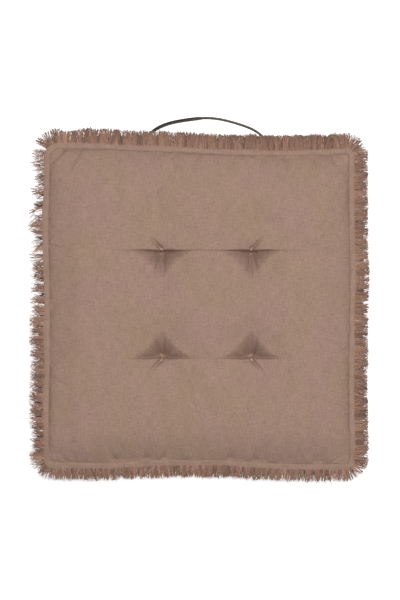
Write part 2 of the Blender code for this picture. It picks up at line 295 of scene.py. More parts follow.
def pillow(x, y):
    """Share of the top's height: it rolls up from each seam, most slowly at the near one."""
    share = np.ones_like(x)
    for room, roll in ((SEAM_X + x, ROLL_LEFT), (SEAM_X - x, ROLL_RIGHT),
                       (SEAM_Y + y, ROLL_NEAR), (SEAM_Y - y, ROLL_FAR)):
        share = share * (1 - np.exp(-np.maximum(room, 0) / roll))
    return share


def tuft_hollows(x, y):
    """How far the tufts draw the top in: a fold across each, with a hollow on its inner side."""
    drop = np.zeros_like(x)
    for tuft in TUFTS:
        side, outward = facing(tuft)
        across = (x - tuft[0]) * side
        inward = (tuft[1] - y) * outward - CREASE_OFFSET
        inward = inward + 0.0004 * np.sin(across / 0.007 + tuft[0] * 50)
        inside, outside = np.maximum(inward, 0), np.minimum(inward, 0)
        # the hollow: a facet with faint folds, a wide bowl and pleats
        width = np.sqrt(across ** 2 + 0.003 ** 2) - 0.003
        spread = ((width / HOLLOW_HALF_LENGTH) ** 0.8 + (inside / HOLLOW_REACH) ** 0.8) ** 1.25
        facet = HOLLOW_DEPTH * np.maximum(0, 1 - spread) ** 1.45
        turn = np.arctan2(across, inside + 0.006)
        near = np.clip(np.hypot(across, inward) / 0.008, 0, 1)
        facet = facet * (1 + 0.060 * near * np.sin(7.5 * turn + tuft[1] * 60 + tuft[0] * 40)
                         + 0.030 * near * np.sin(15 * turn + tuft[0] * 90))
        inner = facet + BOWL_DEPTH * hump(across, BOWL_RADIUS) * hump(inside, BOWL_RADIUS)
        for lean, reach, depth in HOLLOW_PLEATS:
            share = np.clip(inward / reach, 0, 1)
            aside = across - lean * (0.2 + 0.8 * share)
            inner = inner + depth * hump(aside, PLEAT_WIDTH) \
                * smooth_step(inward / 0.005) * (1 - share) ** 0.8
        # the outer side, which the fold's lip hides
        outer = OUTER_DIP * hump(np.hypot(across * 0.75, inward), OUTER_DIP_RADIUS, 1.3) \
            + 0.0012 * hump(across, 0.045) * np.exp(outside / 0.004)
        folded = outer + np.maximum(0, inner - outer) * hump(outside, 0.0014)
        drop = drop + np.where(inward > 0, inner, folded)
        # a short pleat that runs out from the knot on the slant
        from_y = -inward - CREASE_OFFSET
        run = across * 0.70 + from_y * 0.71
        aside = -across * 0.71 + from_y * 0.70
        share = np.clip(run / PLEAT_LENGTH, 0, 1)
        fade = np.where((run > 0) & (run < PLEAT_LENGTH) & (inward < 0), (1 - share) ** 0.6, 0)
        drop = drop + fade * PLEAT_DEPTH * hump(aside, PLEAT_WIDTH)
        drop = drop - fade * 0.0014 * hump(aside + 0.0042, 0.0022)
    # a crease between the tufts of each row, with a small round pucker in its middle
    for tuft in TUFTS[::2]:
        across = x - TUFT_MIDDLE[0]
        along = y - tuft[1] + CREASE_OFFSET * facing(tuft)[1] + 0.0010 * np.sin(across / 0.009)
        drop = drop + 0.0008 * hump(along, 0.0012) * hump(across, 0.034, 6)
        drop = drop + 0.0007 * hump(np.hypot(across, along) - 0.0058, 0.0013)
    return drop


def dip(x, y, tuft, radius):
    """A round dip: 1 at a tuft, level with 0 at a radius from it."""
    reach = np.minimum(1, np.hypot(x - tuft[0], y - tuft[1]) / radius)
    return (1 + np.cos(math.pi * reach)) / 2


def bottom_dips(x, y):
    """How far the tufts draw the underside in, as a share."""
    return sum(dip(x, y, tuft, BOTTOM_DIP_RADIUS) for tuft in TUFTS)


def top_base(x, y):
    """The top of the cover without its tufts."""
    return SEAM_TOP_Z + (CROWN_Z + 0.002 - SEAM_TOP_Z) * pillow(x, y)


def bottom_base(x, y):
    """The underside of the cover, level where it rests."""
    lifted = 1 - np.minimum(1, crown(x, y) / UNDERSIDE_FLAT_FROM)
    return SEAM_BOTTOM_Z * lifted + BOTTOM_DIP * bottom_dips(x, y)


# ---------------- stuffing the cover

def tuft_lines(half, places, count):
    """Evenly spread places from edge to edge, with the nearest moved onto each tuft."""
    lines = np.linspace(-half, half, count + 1)
    fixed = [0, count]
    for place in places:
        nearest = int(np.argmin(np.abs(lines - place)))
        lines[nearest] = place
        fixed.append(nearest)
    fixed = sorted(fixed)
    for low, high in zip(fixed, fixed[1:]):
        lines[low:high + 1] = np.linspace(lines[low], lines[high], high - low + 1)
    return lines


def numbered(rows, columns, start=0):
    """The numbers of a grid's vertices, row by row."""
    return start + np.arange(rows * columns).reshape(rows, columns)


def grid_faces(rows, columns, start=0):
    """Quads between rows and columns of vertices, numbered row by row."""
    index = numbered(rows, columns, start)
    return np.stack([index[:-1, :-1], index[:-1, 1:], index[1:, 1:], index[1:, :-1]],
                    axis=-1).reshape(-1, 4)


def grid_edge(rows, columns):
    """The vertices round the edge of a grid, in order."""
    index = numbered(rows, columns)
    return np.concatenate([index[0, :-1], index[:-1, -1], index[-1, :0:-1], index[:0:-1, 0]])


class Shell:
    """The closed cover: a top grid, rings of wall, and a bottom grid `skip` times as coarse."""

    def __init__(self, xs, ys, levels, skip=1):
        self.xs, self.ys = xs, ys
        self.shares = np.arange(1, levels + 1) / (levels + 1)
        self.rows, self.columns = len(ys), len(xs)
        self.square_x, self.square_y = np.meshgrid(xs, ys)
        self.flat_x, self.flat_y = round_corner(self.square_x, self.square_y)
        self.low_xs, self.low_ys = xs[::skip], ys[::skip]
        self.low_x, self.low_y = np.meshgrid(self.low_xs, self.low_ys)
        self.low_flat_x, self.low_flat_y = round_corner(self.low_x, self.low_y)
        self.cells, self.low_cells = self.flat_x.size, self.low_x.size
        self.top_edge = grid_edge(self.rows, self.columns)
        self.low_edge = grid_edge(*self.low_x.shape)
        self.bottom_edge = self.low_edge + self.cells
        around = len(self.top_edge)
        rings = [self.top_edge]
        for level in range(levels):
            rings.append(self.cells + self.low_cells + level * around + np.arange(around))
        walls = [np.column_stack([upper, lower, np.roll(lower, -1), np.roll(upper, -1)])
                 for upper, lower in zip(rings, rings[1:])]
        last, base = rings[-1], self.bottom_edge
        between = [last[step::skip] for step in range(skip)] + [np.roll(last[::skip], -1)]
        joined = np.column_stack([base, np.roll(base, -1)] + between[::-1])
        self.faces = [grid_faces(self.rows, self.columns),
                      grid_faces(*self.low_x.shape, self.cells)[:, ::-1]] + walls + [joined]

    def wall_points(self, top, bottom):
        """The wall's rings, which bulge between the seams."""
        edge_top = top.reshape(-1, 3)[self.top_edge]
        low = bottom.reshape(-1, 3)[self.low_edge]
        at = np.arange(len(edge_top)) * len(low) / len(edge_top)
        edge_bottom = np.column_stack([
            np.interp(at, np.arange(len(low) + 1), np.append(low[:, axis], low[0, axis]))
            for axis in range(3)])
        edge_bottom[:, :2] = edge_top[:, :2]
        flat = edge_top[:, :2]
        over = np.maximum(0, np.abs(flat) - ((HALF_X, HALF_Y)
                                             - corner_radius(*flat.T)[:, None]))
        out = np.copysign(over, flat) / np.hypot(*over.T)[:, None]
        out = np.column_stack([out, np.zeros(len(out))])
        rings = [edge_top + (edge_bottom - edge_top) * share
                 + out * WALL_BULGE * math.sin(math.pi * share) for share in self.shares]
        return np.concatenate(rings), out

    def vertices(self, top_z, bottom_z):
        """All vertices for given heights of the two grids."""
        top = np.stack([self.flat_x, self.flat_y, top_z], axis=-1)
        bottom = np.stack([self.low_flat_x, self.low_flat_y, bottom_z], axis=-1)
        wall, _ = self.wall_points(top, bottom)
        return np.concatenate([top.reshape(-1, 3), bottom.reshape(-1, 3), wall])


def stuffed_change():
    """How stuffing moves the cover: a cloth simulation of the sewn shell under pressure."""
    xs = tuft_lines(SEAM_X, sorted({round(t[0], 5) for t in TUFTS}), 84)
    ys = tuft_lines(SEAM_Y, sorted({round(t[1], 5) for t in TUFTS}), 88)
    shell = Shell(xs, ys, 11)
    x, y = shell.square_x, shell.square_y
    round_dips = sum(START_DIP * dip(x, y, tuft, START_DIP_RADIUS) ** 1.5 for tuft in TUFTS)
    start = shell.vertices(top_base(x, y) - round_dips, bottom_base(x, y))
    obj = make_mesh("stuffing", start, shell.faces)
    held = obj.vertex_groups.new(name="held")
    held.add(np.concatenate([shell.top_edge, shell.bottom_edge]).tolist(), 1.0, "REPLACE")
    for tuft in TUFTS:
        row = int(np.argmin(np.abs(ys - tuft[1])))
        column = int(np.argmin(np.abs(xs - tuft[0])))
        place = row * shell.columns + column
        held.add([place, place + shell.cells], 1.0, "REPLACE")
    cloth = obj.modifiers.new("cloth", "CLOTH")
    for setting, value in dict(
            quality=6, mass=0.12, tension_stiffness=25, compression_stiffness=25,
            shear_stiffness=8, bending_stiffness=0.25, air_damping=2, shrink_min=-0.012,
            vertex_group_mass="held", use_pressure=True, uniform_pressure_force=3).items():
        setattr(cloth.settings, setting, value)
    cloth.settings.effector_weights.gravity = 0
    scene = bpy.context.scene
    cloth.point_cache.frame_start = 1
    cloth.point_cache.frame_end = STUFFING_STEPS
    for step in range(STUFFING_STEPS):
        scene.frame_set(step + 1)
    evaluated = obj.evaluated_get(bpy.context.evaluated_depsgraph_get())
    mesh = evaluated.to_mesh()
    after = np.empty(len(start) * 3, dtype=np.float32)
    mesh.vertices.foreach_get("co", after)
    evaluated.to_mesh_clear()
    scene.frame_set(1)
    bpy.data.objects.remove(obj)
    change = after.reshape(-1, 3) - start
    size = np.linalg.norm(change, axis=1, keepdims=True)
    return shell, change * np.where(size > STUFFING_LIMIT,
                                    STUFFING_LIMIT / np.maximum(size, 1e-9), 1)


def resample(grid, shell, new_ys, new_xs):
    """Reads a shell's grid of vectors at finer places, by Catmull-Rom cubic curves."""
    def along(data, places, new_places):
        at = np.interp(new_places, places, np.arange(len(places)))
        low = np.clip(at.astype(int), 0, len(places) - 2)
        t = (at - low).reshape(-1, 1, 1)
        before = data[np.maximum(low - 1, 0)]
        here, there = data[low], data[low + 1]
        beyond = data[np.minimum(low + 2, len(places) - 1)]
        return 0.5 * (2 * here + (there - before) * t
                      + (2 * before - 5 * here + 4 * there - beyond) * t ** 2
                      + (3 * here - before - 3 * there + beyond) * t ** 3)

    half = along(grid, shell.ys, new_ys)
    return along(half.transpose(1, 0, 2), shell.xs, new_xs).transpose(1, 0, 2)


def softened(grid):
    """Evens out the sharpest creases of a grid of vectors, with its edge held."""
    grid = grid.copy()
    for _ in range(3):
        grid[1:-1, 1:-1] = (2 * grid[1:-1, 1:-1] + grid[:-2, 1:-1] + grid[2:, 1:-1]
                            + grid[1:-1, :-2] + grid[1:-1, 2:]) / 6
    return grid


def fine_lines(half, places, count, crowd):
    """Grid lines that crowd together round the tufts and beside the seams."""
    dense = np.linspace(-half, half, 4001)
    weight = np.ones_like(dense)
    for place in places:
        weight += crowd * hump(dense - place, CROWD_REACH, 4)
    weight += 1.5 * np.exp(-((half - np.abs(dense)) / 0.006))
    total = np.concatenate([[0], np.cumsum((weight[1:] + weight[:-1]) / 2)])
    return np.interp(np.linspace(0, total[-1], count), total, dense)


def make_cover():
    """The stuffed cover, at full detail, as one closed form."""
    coarse, change = stuffed_change()
    creases = sorted({t[1] - 2 * CREASE_OFFSET * facing(t)[1] for t in TUFTS})
    xs = fine_lines(SEAM_X, sorted({t[0] for t in TUFTS}), 241, 1.2)
    ys = fine_lines(SEAM_Y, creases, 261, 1.9)
    fine = Shell(xs, ys, 13, skip=2)
    x, y = fine.square_x, fine.square_y
    top_change, bottom_change = change[:2 * coarse.cells].reshape(
        2, coarse.rows, coarse.columns, 3)
    moved_top = resample(softened(top_change), coarse, ys, xs)
    moved_bottom = resample(bottom_change, coarse, fine.low_ys, fine.low_xs)
    edge_fade = smooth_step(crown(x, y) / 0.25)
    low_x, low_y = fine.low_x, fine.low_y
    low_fade = smooth_step(crown(low_x, low_y) / 0.25)
    soft = wave_field(11, 14, 0.09, 0.26)
    small = wave_field(12, 22, 0.022, 0.06)
    top_z = top_base(x, y) - tuft_hollows(fine.flat_x, fine.flat_y)
    top_z += edge_fade * (0.0009 * soft(x, y) + 0.00022 * small(x, y))
    top_z -= puckers(x, y)
    top = np.stack([fine.flat_x, fine.flat_y, top_z], axis=-1) + moved_top
    top[..., 2] = np.minimum(top[..., 2], CROWN_Z + 0.008)
    bottom_z = bottom_base(low_x, low_y) + 0.0004 * np.abs(small(low_x + 1, low_y)) \
        * (1 - low_fade)
    bottom = np.stack([fine.low_flat_x, fine.low_flat_y, bottom_z], axis=-1) + moved_bottom
    rest = crown(low_x, low_y) > UNDERSIDE_FLAT_FROM
    lifted = BOTTOM_DIP * bottom_dips(low_x, low_y)
    bottom[..., 2] = np.where(rest, lifted, np.maximum(bottom[..., 2], 0))
    wall, out = fine.wall_points(top, bottom)
    rings = np.repeat(fine.shares, len(fine.top_edge))
    edge = np.tile(np.arange(len(fine.top_edge)), len(fine.shares))
    around = travelled(top.reshape(-1, 3)[fine.top_edge])[edge]
    side_wrinkle = wave_field(13, 20, 0.03, 0.11)
    swell = np.sin(math.pi * rings) * 0.0011 * side_wrinkle(around, rings * 0.05)
    wall = wall + out[edge] * swell[:, None]
    verts = np.concatenate([top.reshape(-1, 3), bottom.reshape(-1, 3), wall])
    cover = make_mesh("cushion_cover", settle(verts), fine.faces)
    wall_height = SEAM_TOP_Z - SEAM_BOTTOM_Z
    cloth = np.concatenate([
        np.stack([x, y, 0 * x], axis=-1).reshape(-1, 3),
        np.stack([low_x, low_y, 0 * low_x + 1], axis=-1).reshape(-1, 3),
        np.column_stack([around, rings * wall_height, 0 * rings + 2])])
    store(cover, "cloth", cloth)
    return cover


def corner_fold(x, y, corner_x, corner_y, first, last, depth, width, bow=0.0):
    """One fold between two places measured inwards from a seam's corner."""
    from_x, from_y = SEAM_X - corner_x * x, SEAM_Y - corner_y * y
    run_x, run_y = last[0] - first[0], last[1] - first[1]
    length = math.hypot(run_x, run_y)
    along = ((from_x - first[0]) * run_x + (from_y - first[1]) * run_y) / length
    share = np.clip(along / length, 0, 1)
    aside = ((from_x - first[0]) * run_y - (from_y - first[1]) * run_x) / length
    aside = aside - bow * np.sin(math.pi * share)
    beyond = along - share * length
    groove = hump(aside, width) - 0.35 * hump(aside - 2 * width, width)
    return depth * groove * hump(beyond, 1.5 * width) * (1 - 0.4 * share)


# Each fold: its corner's signs, its two ends, its depth and width, and how far it bows
CORNER_FOLDS = (
    (-1, 1, (0.022, 0.001), (0.004, 0.020), 0.0044, 0.0027, 0.001),
    (-1, 1, (0.048, 0.0), (0.034, 0.030), 0.0034, 0.0030, 0.001),
    (1, 1, (0.016, 0.0), (0.003, 0.019), 0.0020, 0.0018),
    (1, 1, (0.032, 0.003), (0.010, 0.028), 0.0014, 0.0020),
    (1, -1, (0.030, 0.002), (0.006, 0.016), 0.0020, 0.0022),
    (-1, -1, (0.030, 0.0), (0.004, 0.024), 0.0018, 0.0022))


def puckers(x, y):
    """Drawn-in folds beside the seams, slack ones further in, and slanting ones at corners."""
    total = np.zeros_like(x)
    for seed, edge, along, side, amount, near in (
            (21, SEAM_Y - np.abs(y), x, np.sign(y), 1.7, y < 0),
            (22, SEAM_X - np.abs(x), y, np.sign(x), 0.9, x < 0)):
        place = along + 0.7 * side
        slant = edge * 0.5 * np.sin(place / 0.05)
        fold = np.maximum(0, line_field(seed, 26, 0.009, 0.050)(place + slant)) ** 1.6
        slack = line_field(seed + 2, 20, 0.016, 0.060)(place + 0.3 * slant)
        strength = np.where(near, amount, 0.9)
        total = total + strength * (1 - np.exp(-edge / 0.0025)) * (
            0.0022 * fold * np.exp(-edge / 0.012) + 0.00070 * slack * np.exp(-edge / 0.045))
    for fold in CORNER_FOLDS:
        total = total + corner_fold(x, y, *fold)
    return total


# ---------------- flanges and stitches

FLANGE_WAVE = line_field(31, 18, 0.03, 0.16)
FLANGE_DRIFT = line_field(32, 14, 0.05, 0.20)


def flange_shift(distance):
    """How far the flange's edge wanders in and out."""
    return 0.0008 * FLANGE_DRIFT(distance)


def flange_lift(distance, sign):
    """How far the flange's edge waves up and down."""
    return 0.0015 * FLANGE_WAVE(distance + (0 if sign > 0 else 5))


def make_flange(name, seam_z, sign):
    """Two plies of cloth sewn together at the seam, whose outer edge is frayed."""
    points, outward, distance = outline(0, 0.0024)
    lift, shift = flange_lift(distance, sign), flange_shift(distance)
    rows = []
    for inset, height, follow in ((0.0125, -0.0002, 0.0), (0.0106, 0.0004, 0.1),
                                  (0.0096, 0.0014, 0.3), (0.0084, 0.0024, 0.5),
                                  (0.0070, 0.0026, 0.7), (0.0050, 0.0019, 0.9),
                                  (0.0028, 0.0012, 1.0), (0.0012, 0.0007, 1.0),
                                  (0.0000, 0.0004, 1.0), (0.0000, -0.0004, 1.0),
                                  (0.0030, -0.0009, 1.0), (0.0070, -0.0012, 0.7),
                                  (0.0106, -0.0010, 0.1), (0.0125, -0.0006, 0.0))[::sign]:
        rows.append(np.column_stack([points + outward * (shift * follow - inset)[:, None],
                                     seam_z + sign * height + lift * follow]))
    rings, count = len(rows), len(points)
    index = numbered(rings, count)
    after = np.roll(index, -1, axis=1)
    faces = np.stack([index, after, np.roll(after, -1, axis=0), np.roll(index, -1, axis=0)],
                     axis=-1)
    flange = make_mesh(name, settle(np.concatenate(rows)), faces.reshape(-1, 4))
    store(flange, "cloth", np.column_stack([
        np.tile(distance, rings), np.repeat(np.arange(rings) * 0.002, count),
        np.full(count * rings, 3.0)]))
    return flange


def tube_faces(index):
    """The sides and ends of closed tubes, from their vertices by tube, ring and side."""
    sides = index.shape[2]
    after = np.roll(index, -1, axis=2)
    faces = [np.stack([index[:, :-1], index[:, 1:], after[:, 1:], after[:, :-1]],
                      axis=-1).reshape(-1, 4)]
    for k in range(1, sides // 2):
        cap = [k - 1, k, sides - 1 - k, (sides - k) % sides]
        faces += [index[:, 0, cap], index[:, -1, cap[::-1]]]
    return np.concatenate(faces)


def tubes(name, paths, radii, sides, tint=None):
    """Closed tubes along paths: an array of yarns by rings by xyz, with a radius per ring."""
    count, rings, _ = paths.shape
    ahead = np.gradient(paths, axis=1)
    ahead /= np.linalg.norm(ahead, axis=2, keepdims=True) + 1e-12
    across = np.cross(ahead, (0.0, 0.0, 1.0))
    flat = np.linalg.norm(across, axis=2, keepdims=True)
    across = np.where(flat > 1e-3, across / np.maximum(flat, 1e-9), (1.0, 0.0, 0.0))
    other = np.cross(across, ahead)
    turn = 2 * math.pi * (np.arange(sides) + 0.5) / sides
    radii = np.broadcast_to(radii, (count, rings))
    verts = (paths[:, :, None, :] + radii[:, :, None, None]
             * (across[:, :, None, :] * np.cos(turn)[:, None]
                + other[:, :, None, :] * np.sin(turn)[:, None]))
    index = np.arange(count * rings * sides).reshape(count, rings, sides)
    obj = make_mesh(name, verts.reshape(-1, 3), tube_faces(index))
    if tint is not None:
        store(obj, "tint", np.repeat(np.broadcast_to(tint, (count, rings)).ravel(), sides))
    return obj


def make_stitches(name, z, sign, length=0.0030, gap=0.0012):
    """A row of stitches all round the flange, each dipping into the cloth at its ends."""
    points, _, distance = outline(0.0098, 0.0005)
    total = side_ends(0)[2]
    count = int(total / (length + gap))
    distance = np.append(distance, total)
    closed = np.vstack([points, points[:1]])
    rings = 5
    starts = np.arange(count) * total / count
    along = (starts[:, None] + length * np.linspace(0, 1, rings)[None, :]) % total
    px = np.interp(along, distance, closed[:, 0])
    py = np.interp(along, distance, closed[:, 1])
    arch = 0.0005 * np.sin(math.pi * np.linspace(0, 1, rings)) - 0.0003
    pz = z + 0.25 * flange_lift(along, sign) + sign * arch[None, :]
    return tubes(name, settle(np.stack([px, py, pz], axis=-1)), 0.00026, 6)


# ---------------- fringe

def yarn_run(name, side, sign, seam_z, seed, length, spread, clump, curl, droop,
             density=None, parting=None, gather=0.30, lean=0.13, spacing=YARN_SPACING):
    """One side's frayed yarns, in two layers, which lean together in small locks.

    length and density are functions of the share of the side, 0 to 1, taken anticlockwise.
    """
    run_rng = np.random.default_rng(seed)
    start, end, loop = side_ends(side)
    total = end - start
    per_layer = int(total / spacing)
    s = np.concatenate([(np.arange(per_layer) + run_rng.uniform(0, 1, per_layer))
                        * total / per_layer for _ in range(2)])
    layer = np.repeat([0, 1], per_layer)
    edges = np.cumsum(run_rng.uniform(0.4, 1.6, int(2.5 * total / clump)) * clump)
    edges = np.concatenate([[0], edges[edges < total], [total]])
    lock = np.clip(np.searchsorted(edges, s, side="right") - 1, 0, len(edges) - 2)
    traits = run_rng.normal(0, 1, (5, len(edges)))[:, lock]
    middle = (edges[lock] + edges[lock + 1]) / 2
    if density is not None:
        wanted = density(s / total)
        keep = (run_rng.uniform(0, 1, len(edges))[lock] < wanted ** 0.6) \
            & (run_rng.uniform(0, 1, len(s)) < wanted ** 0.4)
        s, layer, middle, traits = s[keep], layer[keep], middle[keep], traits[:, keep]
    lock_lean, lock_length, lock_lift, lock_tint, lock_bend = traits
    count = len(s)

    edge, outward, distance = outline(0, 0.0005)
    where = (start + s) % loop
    nearest = np.clip(np.searchsorted(distance, where) - 1, 0, len(distance) - 2)
    part = ((where - distance[nearest]) / 0.0005)[:, None]
    root = edge[nearest] + (edge[nearest + 1] - edge[nearest]) * np.clip(part, 0, 1)
    out = outward[nearest]
    tangent = np.column_stack([-out[:, 1], out[:, 0]])

    base_length = length(s / total)
    full = base_length * (1 + spread * run_rng.normal(0, 1, count)
                          + 0.6 * spread * lock_length)
    full = np.clip(full, 0.3 * base_length, 1.35 * base_length)[:, None]
    t = np.linspace(0, 1, YARN_RINGS)[None, :]

    def each(low, high):
        """A random number for each yarn."""
        return run_rng.uniform(low, high, (count, 1))

    tilt = lean * lock_lean + 0.14 * run_rng.normal(0, 1, count)
    if parting is not None:
        place, width, strength = parting
        away = (s / total - place) / width
        tilt = tilt + strength * away * np.exp(-away ** 2)
    wobble = curl * run_rng.normal(0, 1, (count, 1)) \
        * np.sin(each(3, 8) * t + each(0, 6.28)) * t
    bend = curl * 2.2 * (0.6 * run_rng.normal(0, 1, (count, 1))
                         + 0.8 * lock_bend[:, None]) * t ** 2.5
    aside = tilt[:, None] * full * t + (middle - s)[:, None] * gather * smooth_step(t) \
        + wobble + bend
    ahead = full * t - 0.0040 * (1 - t) - 0.5 * curl * each(0, 2) * t ** 3
    height = (-droop + 0.0011 * lock_lift[:, None]
              + 0.0010 * run_rng.normal(0, 1, (count, 1))) * t ** 1.4
    height = height + 0.0008 * np.sin(each(3, 9) * t + each(0, 6.28)) * t
    xy = root[:, None, :] + out[:, None, :] * ahead[..., None] \
        + tangent[:, None, :] * aside[..., None]
    xy = xy + (out * flange_shift(where)[:, None])[:, None, :]
    z = seam_z + (layer[:, None] - 0.5) * 0.0011 + flange_lift(where, sign)[:, None] + height
    paths = settle(np.concatenate([xy, z[..., None]], axis=-1))
    paths[..., 2] = np.maximum(paths[..., 2], 0.0010 + 0.0002 * layer[:, None])
    thick = YARN_RADIUS * np.clip(1 + 0.22 * run_rng.normal(0, 1, (count, 1)), 0.5, 1.6) \
        * (1.05 - 0.35 * t ** 3)
    tint = (0.20 * run_rng.normal(0, 1, count) + 0.13 * lock_tint)[:, None] \
        - 0.12 * t ** 2
    return tubes(name, paths, thick, YARN_SIDES, tint)


# ---------------- materials

class Graph:
    """A material, with short calls that build its node tree."""

    def __init__(self, name):
        self.material = bpy.data.materials.new(name)
        self.material.use_nodes = True
        self.tree = self.material.node_tree
        self.tree.nodes.clear()
        self.shader = self.node("BsdfPrincipled")
        self.put(self.node("OutputMaterial").inputs[0], self.shader.outputs[0])

    def node(self, kind, **settings):
        """A new node with its settings."""
        node = self.tree.nodes.new("ShaderNode" + kind)
        for name, value in settings.items():
            setattr(node, name, value)
        return node

    def put(self, socket, value):
        """Links an output to a socket, or sets its value."""
        if isinstance(value, bpy.types.NodeSocket):
            self.tree.links.new(value, socket)
        else:
            socket.default_value = value

    def fill(self, node, values):
        """Links or sets a node's inputs by name or number."""
        for place, value in values.items():
            self.put(node.inputs[place], value)

    def finish(self, values):
        """Gives the shader its inputs, and returns the material."""
        self.fill(self.shader, values)
        return self.material

    def math(self, operation, a, b=0.0, c=0.0, clamp=False):
        """A Math node's result."""
        node = self.node("Math", operation=operation, use_clamp=clamp)
        self.fill(node, {0: a, 1: b, 2: c})
        return node.outputs[0]

    def vary(self, base, noise, amount, clamp=False):
        """A value moved up and down by noise."""
        return self.math("MULTIPLY_ADD", self.math("SUBTRACT", noise, 0.5), amount, base, clamp)

    def attribute(self, name, vector=False):
        """A value stored on the mesh."""
        return self.node("Attribute", attribute_name=name).outputs["Vector" if vector else "Fac"]

    def scaled(self, vector, scale):
        """A vector stretched along its axes."""
        node = self.node("VectorMath", operation="MULTIPLY")
        self.fill(node, {0: vector, 1: scale})
        return node.outputs[0]

    def parts(self, vector):
        """A vector's x, y and z."""
        node = self.node("SeparateXYZ")
        self.put(node.inputs[0], vector)
        return node.outputs

    def noise(self, vector, scale, detail=2.0, roughness=0.5):
        """Noise from 0 to 1, about 0.5."""
        node = self.node("TexNoise")
        self.fill(node, {"Vector": vector, "Scale": scale, "Detail": detail,
                         "Roughness": roughness})
        return node.outputs[0]

    def blend(self, share, low, high):
        """A colour between two."""
        node = self.node("Mix", data_type="RGBA")
        self.fill(node, {0: share, 6: (*low, 1), 7: (*high, 1)})
        return node.outputs[2]

    def gain(self, colour, amount):
        """A colour times a number."""
        node = self.node("VectorMath", operation="SCALE")
        self.fill(node, {0: colour, "Scale": amount})
        return node.outputs[0]

    def bump(self, height, distance, strength):
        """A normal from a height."""
        node = self.node("Bump")
        self.fill(node, {"Strength": strength, "Distance": distance, "Height": height})
        return node.outputs[0]


def cloth_material():
    """Slubby plain-woven linen-like cloth, read from each panel's own flat coordinates."""
    g = Graph("cover_cloth")
    place = g.attribute("cloth", True)
    warp, weft = (g.math("SINE", g.math("MULTIPLY", axis, math.pi / THREAD_PITCH))
                  for axis in g.parts(place)[:2])
    over = g.math("MULTIPLY_ADD", g.math("MULTIPLY", warp, weft), 0.5, 0.5)
    warp_top = g.math("MULTIPLY", g.math("ABSOLUTE", warp), over)
    weft_top = g.math("MULTIPLY", g.math("ABSOLUTE", weft), g.math("SUBTRACT", 1.0, over))
    weave = g.math("ADD", warp_top, weft_top)
    warp_slub = g.noise(g.scaled(place, (560, 75, 3)), 1.0, 3.0, 0.6)
    weft_slub = g.noise(g.scaled(place, (80, 520, 3)), 1.0, 3.0, 0.6)
    fibre = g.noise(place, 1400, 2.0, 0.6)
    mottle = g.noise(place, 330, 2.0, 0.6)
    blotch = g.noise(g.scaled(place, (14, 11, 5)), 1.0, 2.0, 0.55)
    patch = g.noise(g.scaled(place, (60, 24, 5)), 1.0, 3.0, 0.6)
    hue = g.blend(g.vary(0.5, blotch, 3.4, clamp=True), OLIVE_CLOTH, PINK_CLOTH)
    light = 1.0
    # the weave term paints the gaps between threads a little darker, as painted shade
    for pattern, amount in ((warp_slub, 0.54), (weft_slub, 0.44), (patch, 0.20),
                            (fibre, 0.16), (mottle, 0.44), (weave, 0.08)):
        light = g.vary(light, pattern, amount)
    height = g.math("MULTIPLY_ADD", warp_slub, 0.7, weave)
    height = g.math("MULTIPLY_ADD", weft_slub, 0.5, height)
    height = g.math("MULTIPLY_ADD", fibre, 0.25, height)
    return g.finish({"Base Color": g.gain(hue, light),
                     "Roughness": g.math("MULTIPLY_ADD", fibre, 0.12, 0.82),
                     "Specular IOR Level": 0.25, "Sheen Weight": 0.10, "Sheen Roughness": 0.5,
                     "Sheen Tint": (0.75, 0.62, 0.52, 1),
                     "Normal": g.bump(height, 0.00022, 0.55)})


def yarn_material(name, colour, variation):
    """Loose twisted yarn, each with a tint of its own."""
    g = Graph(name)
    where = g.node("TexCoord").outputs["Object"]
    hairs = g.noise(where, 2200, 2.0, 0.6)
    light = g.math("MULTIPLY_ADD", g.attribute("tint"), variation, 1.0)
    light = g.math("MAXIMUM", g.vary(light, hairs, 0.35), 0.45)
    red, green, blue = colour
    hue = g.blend(g.vary(0.5, g.noise(where, 60), 3.0, clamp=True),
                  (red * 0.95, green * 1.02, blue * 0.96), colour)
    return g.finish({"Base Color": g.gain(hue, light), "Roughness": 0.85,
                     "Specular IOR Level": 0.2, "Sheen Weight": 0.2, "Sheen Roughness": 0.5,
                     "Normal": g.bump(hairs, 0.0002, 0.5)})


def strap_material():
    """Close dark webbing with fine ribs along its length; its left half takes a darker colour as
    painted shade and its right half a lighter one as painted sheen.
    """
    g = Graph("strap")
    place = g.attribute("cloth", True)
    along, across = g.parts(place)[:2]
    rib = g.math("SINE", g.math("MULTIPLY", across, 2 * math.pi / 0.0013))
    pick = g.math("SINE", g.math("MULTIPLY", along, 2 * math.pi / 0.0016))
    weave = g.math("MULTIPLY_ADD", g.math("MULTIPLY", rib, pick), 0.35, rib)
    fibre = g.noise(place, 900, 3.0, 0.6)
    # random patches of wear on the webbing; the stored share of the same name paints sheen on the
    # right half
    wear_and_painted_sheen = g.noise(g.scaled(place, (40, 120, 40)), 1.0, 3.0, 0.6)
    # the rib term paints the grooves between ribs a little darker, as painted shade
    light = g.math("MULTIPLY_ADD", weave, 0.10, g.vary(g.vary(1.0, fibre, 0.6), wear_and_painted_sheen, 0.8))
    # painted shade and sheen: the dark colour on the left half, the lighter one on the right half
    hue = g.blend(g.attribute("wear_and_painted_sheen"), STRAP_COLOUR, PAINTED_SHEEN_STRAP_COLOUR)
    height = g.math("MULTIPLY_ADD", fibre, 0.5, weave)
    return g.finish({"Base Color": g.gain(hue, light), "Roughness": 0.72,
                     "Specular IOR Level": 0.3, "Sheen Weight": 0.15,
                     "Normal": g.bump(height, 0.00018, 0.6)})


# ---------------- handle and knots

def strap_line(reach, half_span, apex_y):
    """The bowed loop's distance from the wall, from its middle out to its feet."""
    share = np.clip(np.abs(reach) / half_span, 0, 1)
    power = np.where(reach < 0, 1.75, 1.62)
    fall = apex_y - AXIS_Y
    return apex_y - 0.62 * fall * share ** power - 0.38 * fall * share ** 7


